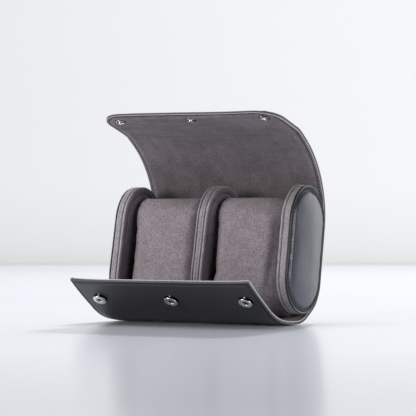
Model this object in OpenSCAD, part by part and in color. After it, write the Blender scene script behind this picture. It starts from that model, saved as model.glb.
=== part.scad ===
// Two-place watch travel case: a leather wrap around three stadium-shaped
// panels, with a roll-over lid, a front flap and two removable watch pillows.
// X runs along the case, -Y is the front, +Z is up. The origin is on the
// table, under the middle of the case as it stands open.

/* [Wrap] */
// Width of the leather wrap along X
wrap_w = 164; // [150:1:180]
// Total thickness of the wrap: lining, board or wadding, leather
wrap_t = 3.6; // [3.2:0.1:4.0]
// Thickness of the suede lining
lining_t = 1.1; // [0.8:0.1:1.2]
// Thickness of the outer leather
leather_t = 1.2; // [1:0.1:1.5]
// Width of the leather edge that is turned in around each board
turn_in = 3; // [2:0.5:5]
// How far the lining stops short of the wrap's side edges
lining_inset = 0.7; // [0:0.1:1.5]
// Gap between two neighbouring segments of the wrap at a bend line
bend_gap = 0.3; // [0.2:0.05:0.5]

/* [Panels] */
// Half depth of a panel, the radius of its two round ends
panel_r = 28.8; // [27:0.1:30]
// Half distance between the centres of a panel's round ends
panel_a = 22.2; // [20:0.1:24]
// Angle by which the panels lean back
lean = 9.8; // [8:0.1:11]
// Height of the panels' middle above the table
panel_z = 58.8; // [58:0.1:60]
// Distance of the panels' middle behind the origin
panel_y = 26.8; // [26:0.1:28]
// Thickness of an end panel along X, without its pad
end_t = 9.5; // [8:0.5:10.5]
// Thickness of the divider along X
divider_t = 10; // [8:0.5:12]
// Inner face of the end panels, as a distance from the middle
end_in_x = 74; // [70:0.5:74]
// Thickness of the suede on the rims
rim_t = 1.0; // [0.8:0.1:1.4]
// Thickness of the suede faces
face_t = 1.0; // [0.8:0.1:1.4]
// Radius of the padded oval on each end
pad_r = 25.2; // [22:0.1:26]
// Height of the padded oval above its border
pad_h = 2.6; // [1.5:0.1:4]
// Thickness of the pad's leather
pad_skin = 1.2; // [1:0.1:1.5]
// Thickness of the flat leather border around the pad
border_t = 1.1; // [1:0.1:1.5]

// Angle by which the left panel and the divider lean towards the right
lean_in = 1.3; // [0:0.1:1.5]

/* [Lid] */
// Length of one bending segment of the lid
lid_seg = 14.28; // [14:0.02:14.6]
// Turning at each of the six bend lines with the case open
lid_open_turn = [13.2, 12.0, 11.2, 11.3, 10.5, 8.3];
// Turning at each of the six bend lines with the case closed
lid_shut_turn = [25.5, 27.4, 27.4, 27.4, 27.4, 21];
// Turning at the crease in front of the lid's stiff lip
lip_crease = 16; // [12:0.5:18]
// Length of the stiff lip
lip_len = 45; // [42:0.5:48]
// Radius of the lip's two corners
lip_r = 21; // [12:0.5:22]
// Bevel on both sides of the crease, so that the lip can lift
crease_bevel = 8; // [6:0.5:10]
// Distance of the snaps from the lip's edge
lip_snap = 10.5; // [9:0.5:14]

/* [Front flap] */
// Radius around which the flap bends when the case is shut
flap_bend_r = 30; // [29:0.5:31]
// Turning at each of the flap's four bend lines with the case open
flap_open_turn = [0, 8, 12.5, 13.5];
// Length of the stiff front flap in front of its last bend line
flap_len = 47.5; // [45:0.5:50]
// Clearance between the shut flap and the panels
flap_clear = 0.6; // [0.5:0.1:1]

/* [Snap fasteners] */
// Distance of the outer snaps from the middle one
snap_pitch = 67; // [60:0.5:68]
// Distance of the row of snaps to the right of the middle
snap_shift = 2; // [0:0.5:2]
// Outer diameter of the snap rings on the flap
ring_d = 11.4; // [10:0.1:12.5]
// Diameter of the hole in a snap ring
ring_hole = 4.8; // [4.6:0.1:5.2]
// Diameter of the snap studs under the lid's lip
stud_d = 3.6; // [3:0.1:3.8]
// Diameter of the rivet shanks
shank_d = 2.6; // [2.2:0.1:3]

/* [Pillows] */
// Width of a pillow along X
pillow_w = 61; // [55:0.5:62]
// Half depth of a pillow, the radius of its round ends
pillow_r = 18; // [16:0.5:18]
// Distance of the pillow's upper round end above the panels' middle
pillow_up = 24.7; // [22:0.1:26]
// Distance of the pillow's lower round end below the panels' middle
pillow_down = 36.2; // [30:0.1:36.3]
// Thickness of the pillow's suede cover
cover_t = 1.2; // [1:0.1:1.5]

/* [Hidden] */
$fn = 64;
fit = 0.05;                       // glue line between two pieces of one body
leather_c = [0.17, 0.17, 0.19];
suede_c = [0.50, 0.47, 0.50];
lining_c = [0.36, 0.33, 0.35];
board_c = [0.62, 0.55, 0.45];
foam_c = [0.85, 0.82, 0.72];
nickel_c = [0.75, 0.75, 0.77];

// ---- plane geometry of the wrap, as [y, z] points --------------------------
// heading h is measured from +Z towards -Y; away() is the wrap's outward side
function along(h) = [-sin(h), cos(h)];
function away(h) = [cos(h), sin(h)];
wrap_r = panel_r + 0.1;           // inner radius of the wrap round the panels
mid = [panel_y, panel_z];
low_c = mid - panel_a*along(-lean);
high_c = mid + panel_a*along(-lean);

// base: flat on the table, then up to the panels at the heel
heel = 32;                        // slope of the heel
heel_r = 3;
heel_t = low_c + wrap_r*away(heel - 90);
flat_y = heel_t[0] - (heel_t[1] - wrap_t)/tan(heel) - heel_r*tan(heel/2);

// lid chain
lid_start = high_c + wrap_r*away(-lean) + lid_seg/2*along(-lean);
function lid_head(turn, k) = k == 0 ? -lean : lid_head(turn, k - 1) + turn[k - 1];
function lid_pt(turn, k) = k <= 1 ? lid_start
  : lid_pt(turn, k - 1) + lid_seg*along(lid_head(turn, k - 1));
function lip_head(turn) = lid_head(turn, 6) + lip_crease;

// front flap chain; its own heading f is measured from -Y towards +Z
function ahead(f) = [-cos(f), sin(f)];
function under(f) = [-sin(f), -cos(f)];
flap_shut_turn = (90 + lean)/4;
flap_seg = 2*flap_bend_r*tan(flap_shut_turn/2);
flap_shut = [for (i = [0:3]) flap_shut_turn];
flap_start = [flap_bend_r/cos(lean) + panel_y - (panel_r + flap_clear)/cos(lean)
  + (wrap_t + flap_bend_r - panel_z)*tan(lean) - flap_seg/2, wrap_t];
function flap_head(turn, k) = k == 0 ? 0 : flap_head(turn, k - 1) + turn[k - 1];
function flap_pt(turn, k) = k <= 1 ? flap_start
  : flap_pt(turn, k - 1) + flap_seg*ahead(flap_head(turn, k - 1));

// where the lid's studs meet the shut flap: this places the flap's snaps
shut_stud = lid_pt(lid_shut_turn, 7)
  + (lip_len - lip_snap)*along(lip_head(lid_shut_turn));
shut_dir = -away(lip_head(lid_shut_turn));
flap_shut_h = flap_head(flap_shut, 4);
flap_skin = flap_pt(flap_shut, 4) + wrap_t*under(flap_shut_h);
stud_drop = (shut_stud - flap_skin)*under(flap_shut_h)/-(shut_dir*under(flap_shut_h));
flap_snap = (shut_stud + (stud_drop - 1.6)*shut_dir - flap_skin)*ahead(flap_shut_h);
echo(flat_y = flat_y, flap_start = flap_start, stud_drop = stud_drop,
  flap_snap_from_edge = flap_len - flap_snap,
  lip_end = lid_pt(lid_open_turn, 7) + lip_len*along(lip_head(lid_open_turn)),
  flap_end = flap_pt(flap_open_turn, 4) + flap_len*ahead(flap_head(flap_open_turn, 4)));

// ---- shared shapes ---------------------------------------------------------
module across(w) rotate([90, 0, 90]) linear_extrude(w, center = true) children();
// a plate in the panels' plane, from x0 to x1
module plate(x0, x1) translate([x0, panel_y, panel_z]) rotate([90, 0, 90])
  linear_extrude(x1 - x0) rotate(-lean) children();
module stadium(r, lo, hi) {
  translate([0, lo]) circle(r);
  translate([0, hi]) circle(r);
  translate([-r, lo]) square([2*r, hi - lo]);
}
module panel_shape(r) stadium(r, -panel_a, panel_a);
// the left panel and the divider lean to the right about their lowest line,
// and are cut a little smaller so that their corners stay inside the wrap
lean_cut = 0.15;
foot_z = panel_z - panel_a*cos(lean) - panel_r;
module leaning(x) translate([x, 0, foot_z]) rotate([0, lean_in, 0]) translate([-x, 0, -foot_z]) children();
module stand(s) {
  if (s < 0) leaning(-end_in_x - end_t/2) children();
  else children();
}
function cut(s) = s < 0 ? lean_cut : 0;

// one layer of the base and rear wall, between two depths below the lining
function base_line(o) = concat(
  [[flap_start[0] + bend_gap/2, wrap_t - o]],
  [for (i = [0:6]) [flat_y, wrap_t + heel_r] + (heel_r + o)*away(-90 + heel*i/6)],
  [for (i = [0:16]) low_c + (wrap_r + o)*away(heel - 90 + (90 - heel - lean)*i/16)],
  [lid_start + o*away(-lean) - bend_gap/2*along(-lean)]);
function back_to_front(v) = [for (i = [len(v) - 1:-1:0]) v[i]];
module base_layer(o1, o2) polygon(concat(base_line(o1), back_to_front(base_line(o2))));
module both_edges(w, strip) for (s = [-1, 1]) translate([s*(w - strip)/2, 0, 0]) children();

// frames on the lid and flap: x along the case, y away from the bend line.
// In lid_frame the lining faces +z and the leather -z, in flap_frame the reverse
module lid_frame(k) translate([0, lid_pt(lid_open_turn, k)[0], lid_pt(lid_open_turn, k)[1]])
  rotate([90 + (k == 7 ? lip_head(lid_open_turn) : lid_head(lid_open_turn, k)), 0, 0]) children();
module flap_frame(k) translate([0, flap_pt(flap_open_turn, k)[0], flap_pt(flap_open_turn, k)[1]])
  rotate([180 - flap_head(flap_open_turn, k), 0, 0]) children();
module slab(w, y0, y1, z0, z1) translate([-w/2, y0, z0]) cube([w, y1 - y0, z1 - z0]);
module snap_holes(y, d) for (s = [-1:1]) translate([snap_shift + s*snap_pitch, y, -10]) cylinder(d = d, h = 20);

// ---- case: base, rear wall, panels ----------------------------------------
module case_leather() color(leather_c) {
  across(wrap_w) base_layer(wrap_t - leather_t, wrap_t);
  both_edges(wrap_w, turn_in) across(turn_in) base_layer(lining_t, wrap_t - leather_t);
}
module case_board() color(board_c)
  across(wrap_w - 2*turn_in - 2*fit) base_layer(lining_t, wrap_t - leather_t);
module case_lining() color(lining_c)
  across(wrap_w - 2*lining_inset) base_layer(0, lining_t);

module end_board(s) color(board_c) stand(s)
  plate(s < 0 ? -end_in_x - end_t + border_t : end_in_x + face_t,
        s < 0 ? -end_in_x - face_t : end_in_x + end_t - border_t)
    panel_shape(panel_r - cut(s) - rim_t - fit);
module end_rim(s) color(suede_c) stand(s)
  plate(s < 0 ? -end_in_x - end_t + border_t : end_in_x, s < 0 ? -end_in_x : end_in_x + end_t - border_t)
    difference() { panel_shape(panel_r - cut(s)); panel_shape(panel_r - cut(s) - rim_t); }
module end_face(s) color(lining_c) stand(s)
  plate(s < 0 ? -end_in_x - face_t : end_in_x, s < 0 ? -end_in_x : end_in_x + face_t)
    panel_shape(panel_r - cut(s) - rim_t - fit);
module end_border(s) color(leather_c) stand(s)
  plate(s < 0 ? -end_in_x - end_t : end_in_x + end_t - border_t,
        s < 0 ? -end_in_x - end_t + border_t : end_in_x + end_t)
    difference() { panel_shape(panel_r - cut(s)); panel_shape(pad_r + fit); }
module divider_board() color(board_c) leaning(0)
  plate(-divider_t/2 + face_t, divider_t/2 - face_t) panel_shape(panel_r - lean_cut - rim_t - fit);
module divider_rim() color(suede_c) leaning(0)
  plate(-divider_t/2, divider_t/2)
    difference() { panel_shape(panel_r - lean_cut); panel_shape(panel_r - lean_cut - rim_t); }
module divider_face(s) color(lining_c) leaning(0)
  plate(s < 0 ? -divider_t/2 : divider_t/2 - face_t, s < 0 ? -divider_t/2 + face_t : divider_t/2)
    panel_shape(panel_r - lean_cut - rim_t - fit);

// a padded oval: straight wall of height base, then a crown of height h
function crown(r, h, base) = [for (i = [12:-1:0]) [r*i/12, base + h*(1 - pow(i/12, 3))]];
module dome(r, h, base) {
  for (s = [-1, 1]) translate([0, s*panel_a, 0]) rotate([0, 0, s < 0 ? 180 : 0])
    rotate_extrude(angle = 180) polygon(concat([[0, 0], [r, 0]], crown(r, h, base)));
  rotate([90, 0, 0]) linear_extrude(2*panel_a, center = true)
    polygon(concat([[-r, 0], [r, 0]], crown(r, h, base),
      [for (i = [1:12]) [-r*i/12, base + h*(1 - pow(i/12, 3))]]));
}
// on an end board's outer face: y along the panel, +z away from it
module on_end(s) stand(s) translate([s*(end_in_x + end_t - border_t), panel_y, panel_z])
  rotate([-lean, 0, 0]) rotate([90, 0, s < 0 ? -90 : 90]) children();
pad_base = border_t + 0.2;
module end_foam(s) color(foam_c) on_end(s)
  dome(pad_r - pad_skin - fit, pad_h - 0.2 - pad_skin/2 - 2*fit, pad_base - pad_skin/2);
module end_pad(s) color(leather_c) on_end(s) difference() {
  dome(pad_r, pad_h - 0.2, pad_base);
  translate([0, 0, -1]) dome(pad_r - pad_skin, pad_h - 0.2 - pad_skin/2, pad_base - pad_skin/2 + 1);
}

// ---- lid -------------------------------------------------------------------
// the crease is cut back with depth, so that the lip can lift
function cut_back(depth) = bend_gap/2 + depth*tan(crease_bevel);
module lid_leather(k) color(leather_c) lid_frame(k)
  slab(wrap_w, bend_gap/2, lid_seg - (k == 6 ? cut_back(wrap_t) : bend_gap/2),
    -wrap_t, leather_t - wrap_t);
module lid_lining(k) color(lining_c) lid_frame(k)
  slab(wrap_w - 2*lining_inset, bend_gap/2,
    lid_seg - (k == 6 ? cut_back(wrap_t - leather_t) : bend_gap/2), leather_t - wrap_t, 0);

// outline of a stiff end piece: from y0 to y1, with round far corners
module end_plan(w, y0, y1, r) {
  translate([-w/2, y0]) square([w, y1 - r - y0]);
  translate([-w/2 + r, y1 - r - 1]) square([w - 2*r, r + 1]);
  for (s = [-1, 1]) translate([s*(w/2 - r), y1 - r]) circle(r);
}
module lip_plan(depth, inset) end_plan(wrap_w - 2*inset, cut_back(depth), lip_len - inset, lip_r - inset);
module layer(z0, z1) translate([0, 0, z0]) linear_extrude(z1 - z0) children();
module lip_leather() color(leather_c) lid_frame(7) difference() {
  union() {
    layer(-wrap_t, leather_t - wrap_t) lip_plan(wrap_t, 0);
    layer(leather_t - wrap_t - 0.01, -lining_t) difference() {
      lip_plan(wrap_t, 0);
      translate([0, -0.5]) lip_plan(wrap_t, turn_in);
      translate([-wrap_w/2 + turn_in, 0]) square([wrap_w - 2*turn_in, 4]);
    }
  }
  snap_holes(lip_len - lip_snap, shank_d);
}
module lip_board() color(board_c) lid_frame(7) difference() {
  layer(leather_t - wrap_t, -lining_t) lip_plan(wrap_t, turn_in + 0.6);
  snap_holes(lip_len - lip_snap, shank_d);
}
module lip_lining() color(lining_c) lid_frame(7) difference() {
  layer(-lining_t, 0) lip_plan(lining_t, lining_inset);
  snap_holes(lip_len - lip_snap, shank_d);
}
module lid_snap_studs() color(nickel_c) lid_frame(7)
  for (s = [-1:1]) translate([snap_shift + s*snap_pitch, lip_len - lip_snap, 0]) {
    cylinder(d = 9, h = 0.8);
    cylinder(d = stud_d - 0.8, h = 3);
    translate([0, 0, 1.8]) cylinder(d = stud_d, h = 1);
  }
module lid_snap_caps() color(nickel_c) lid_frame(7)
  for (s = [-1:1]) translate([snap_shift + s*snap_pitch, lip_len - lip_snap, -wrap_t]) {
    translate([0, 0, -0.9]) cylinder(d1 = 9.6, d2 = 11, h = 0.9);
    cylinder(d = shank_d, h = wrap_t);
  }

// ---- front flap ------------------------------------------------------------
module flap_leather(k) color(leather_c) flap_frame(k)
  slab(wrap_w, bend_gap/2, flap_seg - bend_gap/2, wrap_t - leather_t, wrap_t);
module flap_lining(k) color(lining_c) flap_frame(k)
  slab(wrap_w - 2*lining_inset, bend_gap/2, flap_seg - bend_gap/2, 0, wrap_t - leather_t);
module flap_plan(inset, near) end_plan(wrap_w - 2*inset, bend_gap/2 + near, flap_len - inset, 1.5);
module front_flap_leather() color(leather_c) flap_frame(4) difference() {
  union() {
    layer(wrap_t - leather_t, wrap_t) flap_plan(0, 0);
    layer(lining_t, wrap_t - leather_t + 0.01) difference() {
      flap_plan(0, 0);
      flap_plan(turn_in, -1);
    }
  }
  snap_holes(flap_snap, shank_d);
}
module front_flap_board() color(board_c) flap_frame(4) difference() {
  layer(lining_t, wrap_t - leather_t) flap_plan(turn_in + 0.1, 0);
  snap_holes(flap_snap, shank_d);
}
module front_flap_lining() color(lining_c) flap_frame(4) difference() {
  layer(0, lining_t) flap_plan(lining_inset, 0);
  snap_holes(flap_snap, shank_d);
  snap_seats();
}
// shallow seats for the rivet heads, flush with the lining
module snap_seats() for (s = [-1:1]) translate([snap_shift + s*snap_pitch, flap_snap, -1])
  cylinder(d = 8.2, h = 1.7);
module flap_snap_rings() color(nickel_c) flap_frame(4)
  for (s = [-1:1]) translate([snap_shift + s*snap_pitch, flap_snap, wrap_t]) difference() {
    union() {
      cylinder(d = 8, h = 1);
      translate([0, 0, 0.8]) cylinder(d1 = ring_d - 0.6, d2 = ring_d, h = 0.4);
      translate([0, 0, 1.2]) cylinder(d = ring_d, h = 0.6);
      translate([0, 0, 1.8]) cylinder(d1 = ring_d, d2 = ring_d - 1.4, h = 0.5);
    }
    translate([0, 0, 0.4]) cylinder(d = ring_hole, h = 3);
  }
module flap_snap_rivets() color(nickel_c) flap_frame(4)
  for (s = [-1:1]) translate([snap_shift + s*snap_pitch, flap_snap, 0]) {
    translate([0, 0, 0.1]) cylinder(d = 8, h = 0.6);
    translate([0, 0, 0.1]) cylinder(d = shank_d, h = wrap_t - 0.1);
  }

// ---- pillows ---------------------------------------------------------------
left_x = -38;                     // middle of the left pillow
right_x = 40.5;                   // middle of the right pillow
module pillow_shape(r) stadium(r, -pillow_down, pillow_up);
module pillow_cover(x) color(suede_c) plate(x - pillow_w/2, x + pillow_w/2)
  difference() { pillow_shape(pillow_r); pillow_shape(pillow_r - cover_t); }
module pillow_gussets(x) color(suede_c) for (s = [-1, 1])
  plate(x + (s < 0 ? -pillow_w/2 : pillow_w/2 - cover_t), x + (s < 0 ? cover_t - pillow_w/2 : pillow_w/2))
    pillow_shape(pillow_r - cover_t - fit);
module pillow_core(x) color(foam_c)
  plate(x - pillow_w/2 + cover_t + fit, x + pillow_w/2 - cover_t - fit)
    pillow_shape(pillow_r - cover_t - fit);

case_leather();
case_board();
case_lining();
end_board(-1);  // end_board_left
end_board(1);  // end_board_right
divider_board();
end_rim(-1);  // end_rim_left
end_rim(1);  // end_rim_right
divider_rim();
end_face(-1);  // end_face_left
end_face(1);  // end_face_right
divider_face(-1);  // divider_face_left
divider_face(1);  // divider_face_right
end_border(-1);  // end_border_left
end_border(1);  // end_border_right
end_foam(-1);  // end_foam_left
end_foam(1);  // end_foam_right
end_pad(-1);  // end_pad_left
end_pad(1);  // end_pad_right
lid_leather(1);  // lid_leather_1
lid_leather(2);  // lid_leather_2
lid_leather(3);  // lid_leather_3
lid_leather(4);  // lid_leather_4
lid_leather(5);  // lid_leather_5
lid_leather(6);  // lid_leather_6
lid_lining(1);  // lid_lining_1
lid_lining(2);  // lid_lining_2
lid_lining(3);  // lid_lining_3
lid_lining(4);  // lid_lining_4
lid_lining(5);  // lid_lining_5
lid_lining(6);  // lid_lining_6
lip_leather();
lip_board();
lip_lining();
lid_snap_studs();
lid_snap_caps();
flap_leather(1);  // flap_leather_1
flap_leather(2);  // flap_leather_2
flap_leather(3);  // flap_leather_3
flap_lining(1);  // flap_lining_1
flap_lining(2);  // flap_lining_2
flap_lining(3);  // flap_lining_3
front_flap_leather();
front_flap_board();
front_flap_lining();
flap_snap_rings();
flap_snap_rivets();
pillow_cover(left_x);  // pillow_left_cover
pillow_gussets(left_x);  // pillow_left_gussets
pillow_core(left_x);  // pillow_left_core
pillow_cover(right_x);  // pillow_right_cover
pillow_gussets(right_x);  // pillow_right_gussets
pillow_core(right_x);  // pillow_right_core
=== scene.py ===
import bpy, bmesh, math, random
import numpy as np
from mathutils import Vector, Matrix, noise


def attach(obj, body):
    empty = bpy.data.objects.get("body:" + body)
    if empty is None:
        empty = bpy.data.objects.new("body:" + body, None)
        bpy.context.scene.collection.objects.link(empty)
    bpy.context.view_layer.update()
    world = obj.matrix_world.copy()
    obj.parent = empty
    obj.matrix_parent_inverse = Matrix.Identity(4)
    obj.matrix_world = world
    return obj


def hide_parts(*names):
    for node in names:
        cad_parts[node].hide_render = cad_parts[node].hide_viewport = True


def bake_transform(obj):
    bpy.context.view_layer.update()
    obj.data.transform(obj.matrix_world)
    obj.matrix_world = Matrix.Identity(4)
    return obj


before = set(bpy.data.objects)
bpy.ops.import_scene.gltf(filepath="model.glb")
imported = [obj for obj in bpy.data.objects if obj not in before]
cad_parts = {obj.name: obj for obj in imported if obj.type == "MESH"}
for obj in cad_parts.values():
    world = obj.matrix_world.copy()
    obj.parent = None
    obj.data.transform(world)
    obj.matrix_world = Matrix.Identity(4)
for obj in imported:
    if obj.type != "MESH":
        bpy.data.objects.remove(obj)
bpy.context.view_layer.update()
MM = 0.001
rad = math.radians

# ---------------------------------------------------------------- the numbers
PY, PZ, R, A, LEAN = 26.8, 58.8, 28.8, 22.2, 9.8      # panels
WT, WR = 3.6, 28.9                                     # wrap thickness, inner radius
HW = 82.0                                              # half the wrap's width
LSEG, OPEN = 14.28, [13.2, 12.0, 11.2, 11.3, 10.5, 8.3]
CREASE, LIP, LIP_R = 16.0, 45.0, 21.0
FOPEN, FLAP = [0, 8, 12.5, 13.5], 47.5
SNAP_X, SNAP_S, LIP_SNAP = 67.0, 2.0, 10.5


def along(h): return np.array([-math.sin(rad(h)), math.cos(rad(h))])
def away(h): return np.array([math.cos(rad(h)), math.sin(rad(h))])


MID = np.array([PY, PZ])
UP, DOWN = MID + A * along(-LEAN), MID - A * along(-LEAN)
FSTEP = (90 + LEAN) / 4
FSEG = 60 * math.tan(rad(FSTEP / 2))
FLAP_SNAP = FLAP - 24.154


def put(o):
    bpy.context.scene.collection.objects.link(o)
    return o


# ------------------------------------------------------------ materials
def mat(name):
    m = bpy.data.materials.new(name)
    m.use_nodes = True
    nt = m.node_tree
    nt.nodes.clear()
    out = nt.nodes.new("ShaderNodeOutputMaterial")
    b = nt.nodes.new("ShaderNodeBsdfPrincipled")
    nt.links.new(b.outputs[0], out.inputs[0])
    return m, nt, b


class N:
    """short helpers to wire nodes"""
    def __init__(s, nt): s.nt = nt
    def node(s, kind, **kw):
        n = s.nt.nodes.new(kind)
        for k, v in kw.items():
            if k.startswith("_"): setattr(n, k[1:], v)
            else: s.set(n.inputs[k], v)
        return n
    def set(s, sock, v):
        if isinstance(v, bpy.types.NodeSocket): s.nt.links.new(v, sock)
        else: sock.default_value = v
    def coord(s, uv=False):
        n = s.nt.nodes.new("ShaderNodeTexCoord")
        return n.outputs["UV" if uv else "Object"]
    def scale(s, v, sc):
        n = s.nt.nodes.new("ShaderNodeMapping")
        s.nt.links.new(v, n.inputs[0]); n.inputs["Scale"].default_value = sc
        return n.outputs[0]
    def noise(s, v, scale, detail=3, rough=.55, dist=0):
        n = s.nt.nodes.new("ShaderNodeTexNoise")
        s.nt.links.new(v, n.inputs["Vector"])
        n.inputs["Scale"].default_value = scale; n.inputs["Detail"].default_value = detail
        n.inputs["Roughness"].default_value = rough; n.inputs["Distortion"].default_value = dist
        return n.outputs["Fac"]
    def voro(s, v, scale, feature="F1", rand=1):
        n = s.nt.nodes.new("ShaderNodeTexVoronoi"); n.feature = feature
        s.nt.links.new(v, n.inputs["Vector"]); n.inputs["Scale"].default_value = scale
        n.inputs["Randomness"].default_value = rand
        return n.outputs["Distance"]
    def math(s, op, a, b=0.0, clamp=False):
        n = s.nt.nodes.new("ShaderNodeMath"); n.operation = op; n.use_clamp = clamp
        s.set(n.inputs[0], a); s.set(n.inputs[1], b)
        return n.outputs[0]
    def ramp(s, f, stops):
        n = s.nt.nodes.new("ShaderNodeValToRGB")
        s.nt.links.new(f, n.inputs[0])
        e = n.color_ramp.elements
        while len(e) < len(stops): e.new(.5)
        for i, (p, c) in enumerate(stops):
            e[i].position = p; e[i].color = (*c, 1) if len(c) == 3 else c
        return n.outputs[0]
    def mix(s, f, a, b, mode="MIX"):
        n = s.nt.nodes.new("ShaderNodeMix"); n.data_type = "RGBA"; n.blend_type = mode
        s.set(n.inputs[0], f)
        for k, v in ((6, a), (7, b)):
            if isinstance(v, bpy.types.NodeSocket): s.nt.links.new(v, n.inputs[k])
            else: n.inputs[k].default_value = (*v, 1)
        return n.outputs[2]
    def bump(s, h, dist, strength=1.0, normal=None):
        n = s.nt.nodes.new("ShaderNodeBump")
        s.nt.links.new(h, n.inputs["Height"]); n.inputs["Distance"].default_value = dist
        n.inputs["Strength"].default_value = strength
        if normal is not None: s.nt.links.new(normal, n.inputs["Normal"])
        return n.outputs[0]


def lin(r, g, b):
    f = lambda c: ((c / 255 + .055) / 1.055) ** 2.4 if c > 10 else c / 255 / 12.92
    return (f(r), f(g), f(b))


def edge_mm(n, v):
    """distance in mm from the wrap's cut edge, from its flat pattern (x, s)"""
    sep = n.node("ShaderNodeSeparateXYZ"); n.nt.links.new(v, sep.inputs[0])
    x = n.math("MULTIPLY", n.math("ABSOLUTE", sep.outputs[0]), 1000.0)
    t = n.math("MULTIPLY", sep.outputs[1], 1000.0)
    cx = n.math("MAXIMUM", n.math("SUBTRACT", x, HW - LIP_R), 0.0)
    cs = n.math("MAXIMUM", n.math("SUBTRACT", t, WRAP_LEN - LIP_R), 0.0)
    d = n.math("SQRT", n.math("ADD", n.math("MULTIPLY", cx, cx), n.math("MULTIPLY", cs, cs)))
    e = n.math("SUBTRACT", LIP_R, d)
    return n.math("MINIMUM", e, t), t


def line_at(n, f, at, width):
    """1 on a soft line where f is near at, 0 away from it"""
    d = n.math("ABSOLUTE", n.math("SUBTRACT", f, at))
    return n.math("SUBTRACT", 1.0, n.math("DIVIDE", d, width, clamp=True), clamp=True)


def shade(n, col, f, k):
    """col times k where f is 1"""
    return n.mix(f, col, n.mix(1.0, col, (k, k, k), "MULTIPLY"))


def leather(name, dark, light, uv=False, rough=(.36, .5), grain=.00006, border=False, coat=.08):
    m, nt, b = mat(name); n = N(nt); v = n.coord(uv)
    big = n.noise(v, 22, 3)
    fine = n.noise(v, 260, 4, .6)
    cells = n.voro(v, 1500, "DISTANCE_TO_EDGE")
    cells = n.math("MINIMUM", n.math("MULTIPLY", cells, 5.0), 1.0)
    pores = n.noise(v, 1900, 2)
    h = n.math("ADD", n.math("MULTIPLY", cells, .6), n.math("MULTIPLY", pores, .5))
    col = n.mix(n.ramp(big, [(.3, (0, 0, 0)), (.72, (1, 1, 1))]), dark, light)
    col = n.mix(n.math("MULTIPLY", n.math("SUBTRACT", 1.0, cells), .35), col, tuple(c * .45 for c in dark))
    r = n.math("ADD", n.math("MULTIPLY", fine, rough[1] - rough[0]), rough[0])
    if border:
        e, t = edge_mm(n, v)
        worn = n.math("MULTIPLY", line_at(n, e, .1, .7), n.math("ADD", n.math("MULTIPLY", fine, .8), .35), clamp=True)
        col = n.mix(worn, col, lin(104, 102, 107))
        # painted shade: a dark line where the face rounds off to the edge, and a darker groove along the stitch line;
        # then a painted highlight band just inside the stitches
        col = shade(n, col, line_at(n, e, 1.5, .8), .5)
        col = shade(n, col, line_at(n, e, 2.8, .6), .35)
        col = shade(n, col, line_at(n, e, 3.9, .8), 1.45)
        r = n.math("ADD", r, n.math("MULTIPLY", line_at(n, e, 1.2, 2.0), .08))
    nt.links.new(col, b.inputs["Base Color"])
    nt.links.new(r, b.inputs["Roughness"])
    nrm = n.bump(n.noise(v, 60, 2), .0004, .25)
    nt.links.new(n.bump(h, grain, .8, nrm), b.inputs["Normal"])
    b.inputs["Specular IOR Level"].default_value = .5
    b.inputs["Coat Weight"].default_value = coat
    b.inputs["Coat Roughness"].default_value = .3
    return m


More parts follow.
